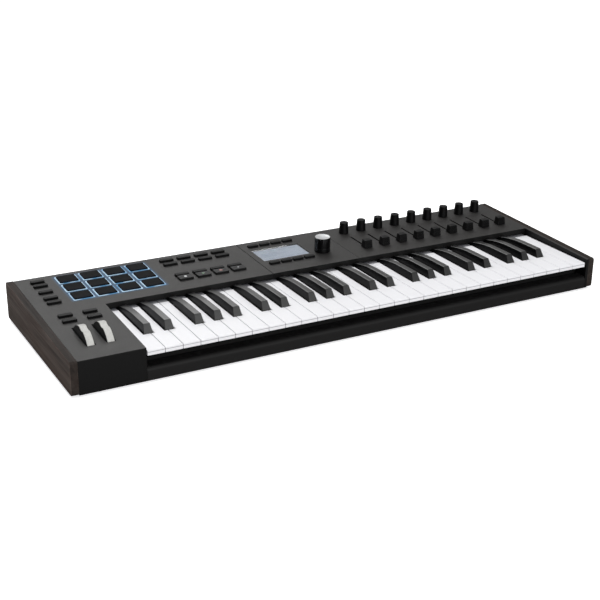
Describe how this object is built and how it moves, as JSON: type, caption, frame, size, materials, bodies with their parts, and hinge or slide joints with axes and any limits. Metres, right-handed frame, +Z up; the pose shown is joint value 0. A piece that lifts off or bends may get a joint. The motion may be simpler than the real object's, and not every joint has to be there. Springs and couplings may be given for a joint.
{
  "type": "midi keyboard",
  "caption": "Low-profile controller keyboard: sprung piano keys, lit pads, knobs, faders, push buttons, two side wheels, a display and a main encoder between wood cheeks.",
  "frame": {"origin": "middle of the footprint, on the plane the rubber feet stand on", "axes": "+X along the keys from low to high notes, +Y to the rear sockets, +Z up"},
  "size_m": [0.795, 0.272, 0.0758],
  "materials": {
    "cheek_wood": "dark stained open grain, satin",
    "panel_paint": "fine matte texture",
    "case_plastic": "fine spark texture",
    "white_key": "smooth gloss",
    "black_key": "satin",
    "pad_rubber": "soft matte",
    "light_guide": "frosted, lit blue from below",
    "button_plastic": "soft matte",
    "knob_plastic": "soft touch",
    "wheel_plastic": "smooth satin grey rim",
    "window_clear": "clear, glossy",
    "screen_glow": "backlit screen",
    "frame_steel": "zinc plated sheet",
    "bright_steel": "bright",
    "circuit_board": "green solder mask",
    "inner_plastic": "moulded black",
    "foot_rubber": "matte"
  },
  "bodies": {
    "case": {"bottom_case": "case_plastic", "top_panel": "panel_paint", "centre_panel": "panel_paint", "left_cheek": "cheek_wood", "right_cheek": "cheek_wood", "keybed_frame": "frame_steel", "key_axle": "bright_steel", "key_springs": "bright_steel", "key_contact_board": "circuit_board", "main_board": "circuit_board", "knob_encoders": "inner_plastic", "fader_pots": "inner_plastic", "display_window": "window_clear", "display_module": "screen_glow", "rear_connectors": "inner_plastic", "rubber_feet": "foot_rubber", "case_screws": "bright_steel", "wheel_bracket": "frame_steel", "pad_light_frames": "light_guide"},
    "keys_c": {"keys_c": "white_key"},
    "keys_c_sharp": {"keys_c_sharp": "black_key"},
    "keys_d": {"keys_d": "white_key"},
    "keys_d_sharp": {"keys_d_sharp": "black_key"},
    "keys_e": {"keys_e": "white_key"},
    "keys_f": {"keys_f": "white_key"},
    "keys_f_sharp": {"keys_f_sharp": "black_key"},
    "keys_g": {"keys_g": "white_key"},
    "keys_g_sharp": {"keys_g_sharp": "black_key"},
    "keys_a": {"keys_a": "white_key"},
    "keys_a_sharp": {"keys_a_sharp": "black_key"},
    "keys_b": {"keys_b": "white_key"},
    "pads_front_row": {"pads_front_row": "pad_rubber"},
    "pads_middle_row": {"pads_middle_row": "pad_rubber"},
    "pads_rear_row": {"pads_rear_row": "pad_rubber"},
    "knob_1": {"knob_1": "knob_plastic"},
    "fader_1": {"fader_1": "knob_plastic"},
    "knob_2": {"knob_2": "knob_plastic"},
    "fader_2": {"fader_2": "knob_plastic"},
    "knob_3": {"knob_3": "knob_plastic"},
    "fader_3": {"fader_3": "knob_plastic"},
    "knob_4": {"knob_4": "knob_plastic"},
    "fader_4": {"fader_4": "knob_plastic"},
    "knob_5": {"knob_5": "knob_plastic"},
    "fader_5": {"fader_5": "knob_plastic"},
    "knob_6": {"knob_6": "knob_plastic"},
    "fader_6": {"fader_6": "knob_plastic"},
    "knob_7": {"knob_7": "knob_plastic"},
    "fader_7": {"fader_7": "knob_plastic"},
    "knob_8": {"knob_8": "knob_plastic"},
    "fader_8": {"fader_8": "knob_plastic"},
    "knob_9": {"knob_9": "knob_plastic"},
    "fader_9": {"fader_9": "knob_plastic"},
    "encoder_shaft": {"encoder_shaft": "bright_steel"},
    "encoder_knob": {"encoder_knob": "knob_plastic"},
    "pitch_wheel": {"pitch_wheel": "wheel_plastic"},
    "mod_wheel": {"mod_wheel": "wheel_plastic"},
    "left_buttons": {"left_buttons": "button_plastic"},
    "function_buttons": {"function_buttons": "button_plastic"},
    "transport_buttons": {"transport_buttons": "button_plastic"},
    "display_buttons": {"display_buttons": "button_plastic"}
  },
  "joints": [
    {"name": "c_keys_press", "type": "hinge", "parent": "case", "child": "keys_c", "pos_m": [0, 0.069, 0.0305], "axis": [1, 0, 0], "range_deg": [0, 2.8], "stiffness_Nm_per_rad": 2, "springref_deg": -11.46},
    {"name": "c_sharp_keys_press", "type": "hinge", "parent": "case", "child": "keys_c_sharp", "pos_m": [0, 0.069, 0.0305], "axis": [1, 0, 0], "range_deg": [0, 2.8], "stiffness_Nm_per_rad": 2, "springref_deg": -11.46},
    {"name": "pitch_wheel_turn", "type": "hinge", "parent": "case", "child": "pitch_wheel", "pos_m": [0, -0.073, 0.0303], "axis": [1, 0, 0], "range_deg": [-30, 30], "stiffness_Nm_per_rad": 0.08},
    {"name": "mod_wheel_turn", "type": "hinge", "parent": "case", "child": "mod_wheel", "pos_m": [0, -0.073, 0.0303], "axis": [1, 0, 0], "range_deg": [-30, 30]},
    {"name": "fader_1_slide", "type": "slide", "parent": "case", "child": "fader_1", "axis": [0, 0.9995, 0.0309], "range_m": [0, 0.045]},
    {"name": "knob_1_turn", "type": "hinge", "parent": "case", "child": "knob_1", "pos_m": [0.1141, 0.10915, 0.05487], "axis": [0, -0.0309, 0.9995], "continuous": true},
    {"name": "encoder_push", "type": "slide", "parent": "case", "child": "encoder_shaft", "axis": [0, 0.0309, -0.9995], "range_m": [0, 0.0005], "stiffness_N_per_m": 1500, "springref_m": -0.0005},
    {"name": "encoder_turn", "type": "hinge", "parent": "encoder_shaft", "child": "encoder_knob", "pos_m": [0.0473, 0.05617, 0.05323], "axis": [0, -0.0309, 0.9995], "continuous": true},
    {"name": "front_pads_press", "type": "slide", "parent": "case", "child": "pads_front_row", "axis": [0, 0.0309, -0.9995], "range_m": [0, 0.0008], "stiffness_N_per_m": 1500, "springref_m": -0.0006},
    {"name": "left_buttons_press", "type": "slide", "parent": "case", "child": "left_buttons", "axis": [0, 0.0309, -0.9995], "range_m": [0, 0.0008], "stiffness_N_per_m": 600, "springref_m": -0.001},
    {"name": "function_buttons_press", "type": "slide", "parent": "case", "child": "function_buttons", "axis": [0, 0.0309, -0.9995], "range_m": [0, 0.0008], "stiffness_N_per_m": 600, "springref_m": -0.001},
    {"name": "transport_buttons_press", "type": "slide", "parent": "case", "child": "transport_buttons", "axis": [0, 0.0309, -0.9995], "range_m": [0, 0.0008], "stiffness_N_per_m": 600, "springref_m": -0.001},
    {"name": "display_buttons_press", "type": "slide", "parent": "case", "child": "display_buttons", "axis": [0, 0.0309, -0.9995], "range_m": [0, 0.0008], "stiffness_N_per_m": 600, "springref_m": -0.001},
    {"name": "middle_pads_press", "type": "slide", "parent": "case", "child": "pads_middle_row", "axis": [0, 0.0309, -0.9995], "range_m": [0, 0.0008], "stiffness_N_per_m": 1500, "springref_m": -0.0006},
    {"name": "rear_pads_press", "type": "slide", "parent": "case", "child": "pads_rear_row", "axis": [0, 0.0309, -0.9995], "range_m": [0, 0.0008], "stiffness_N_per_m": 1500, "springref_m": -0.0006},
    {"name": "fader_9_slide", "type": "slide", "parent": "case", "child": "fader_9", "axis": [0, 0.9995, 0.0309], "range_m": [0, 0.045]},
    {"name": "knob_9_turn", "type": "hinge", "parent": "case", "child": "knob_9", "pos_m": [0.3569, 0.10915, 0.05487], "axis": [0, -0.0309, 0.9995], "continuous": true},
    {"name": "fader_5_slide", "type": "slide", "parent": "case", "child": "fader_5", "axis": [0, 0.9995, 0.0309], "range_m": [0, 0.045]},
    {"name": "d_keys_press", "type": "hinge", "parent": "case", "child": "keys_d", "pos_m": [0, 0.069, 0.0305], "axis": [1, 0, 0], "range_deg": [0, 2.8], "stiffness_Nm_per_rad": 2, "springref_deg": -11.46},
    {"name": "d_sharp_keys_press", "type": "hinge", "parent": "case", "child": "keys_d_sharp", "pos_m": [0, 0.069, 0.0305], "axis": [1, 0, 0], "range_deg": [0, 2.8], "stiffness_Nm_per_rad": 2, "springref_deg": -11.46},
    {"name": "e_keys_press", "type": "hinge", "parent": "case", "child": "keys_e", "pos_m": [0, 0.069, 0.0305], "axis": [1, 0, 0], "range_deg": [0, 2.8], "stiffness_Nm_per_rad": 2, "springref_deg": -11.46},
    {"name": "f_keys_press", "type": "hinge", "parent": "case", "child": "keys_f", "pos_m": [0, 0.069, 0.0305], "axis": [1, 0, 0], "range_deg": [0, 2.8], "stiffness_Nm_per_rad": 2, "springref_deg": -11.46},
    {"name": "f_sharp_keys_press", "type": "hinge", "parent": "case", "child": "keys_f_sharp", "pos_m": [0, 0.069, 0.0305], "axis": [1, 0, 0], "range_deg": [0, 2.8], "stiffness_Nm_per_rad": 2, "springref_deg": -11.46},
    {"name": "g_keys_press", "type": "hinge", "parent": "case", "child": "keys_g", "pos_m": [0, 0.069, 0.0305], "axis": [1, 0, 0], "range_deg": [0, 2.8], "stiffness_Nm_per_rad": 2, "springref_deg": -11.46},
    {"name": "g_sharp_keys_press", "type": "hinge", "parent": "case", "child": "keys_g_sharp", "pos_m": [0, 0.069, 0.0305], "axis": [1, 0, 0], "range_deg": [0, 2.8], "stiffness_Nm_per_rad": 2, "springref_deg": -11.46},
    {"name": "a_keys_press", "type": "hinge", "parent": "case", "child": "keys_a", "pos_m": [0, 0.069, 0.0305], "axis": [1, 0, 0], "range_deg": [0, 2.8], "stiffness_Nm_per_rad": 2, "springref_deg": -11.46},
    {"name": "a_sharp_keys_press", "type": "hinge", "parent": "case", "child": "keys_a_sharp", "pos_m": [0, 0.069, 0.0305], "axis": [1, 0, 0], "range_deg": [0, 2.8], "stiffness_Nm_per_rad": 2, "springref_deg": -11.46},
    {"name": "b_keys_press", "type": "hinge", "parent": "case", "child": "keys_b", "pos_m": [0, 0.069, 0.0305], "axis": [1, 0, 0], "range_deg": [0, 2.8], "stiffness_Nm_per_rad": 2, "springref_deg": -11.46},
    {"name": "fader_2_slide", "type": "slide", "parent": "case", "child": "fader_2", "axis": [0, 0.9995, 0.0309], "range_m": [0, 0.045]},
    {"name": "knob_2_turn", "type": "hinge", "parent": "case", "child": "knob_2", "pos_m": [0.14445, 0.10915, 0.05487], "axis": [0, -0.0309, 0.9995], "continuous": true},
    {"name": "fader_3_slide", "type": "slide", "parent": "case", "child": "fader_3", "axis": [0, 0.9995, 0.0309], "range_m": [0, 0.045]},
    {"name": "knob_3_turn", "type": "hinge", "parent": "case", "child": "knob_3", "pos_m": [0.1748, 0.10915, 0.05487], "axis": [0, -0.0309, 0.9995], "continuous": true},
    {"name": "fader_4_slide", "type": "slide", "parent": "case", "child": "fader_4", "axis": [0, 0.9995, 0.0309], "range_m": [0, 0.045]},
    {"name": "knob_4_turn", "type": "hinge", "parent": "case", "child": "knob_4", "pos_m": [0.20515, 0.10915, 0.05487], "axis": [0, -0.0309, 0.9995], "continuous": true},
    {"name": "knob_5_turn", "type": "hinge", "parent": "case", "child": "knob_5", "pos_m": [0.2355, 0.10915, 0.05487], "axis": [0, -0.0309, 0.9995], "continuous": true},
    {"name": "fader_6_slide", "type": "slide", "parent": "case", "child": "fader_6", "axis": [0, 0.9995, 0.0309], "range_m": [0, 0.045]},
    {"name": "knob_6_turn", "type": "hinge", "parent": "case", "child": "knob_6", "pos_m": [0.26585, 0.10915, 0.05487], "axis": [0, -0.0309, 0.9995], "continuous": true},
    {"name": "fader_7_slide", "type": "slide", "parent": "case", "child": "fader_7", "axis": [0, 0.9995, 0.0309], "range_m": [0, 0.045]},
    {"name": "knob_7_turn", "type": "hinge", "parent": "case", "child": "knob_7", "pos_m": [0.2962, 0.10915, 0.05487], "axis": [0, -0.0309, 0.9995], "continuous": true},
    {"name": "fader_8_slide", "type": "slide", "parent": "case", "child": "fader_8", "axis": [0, 0.9995, 0.0309], "range_m": [0, 0.045]},
    {"name": "knob_8_turn", "type": "hinge", "parent": "case", "child": "knob_8", "pos_m": [0.32655, 0.10915, 0.05487], "axis": [0, -0.0309, 0.9995], "continuous": true}
  ]
}
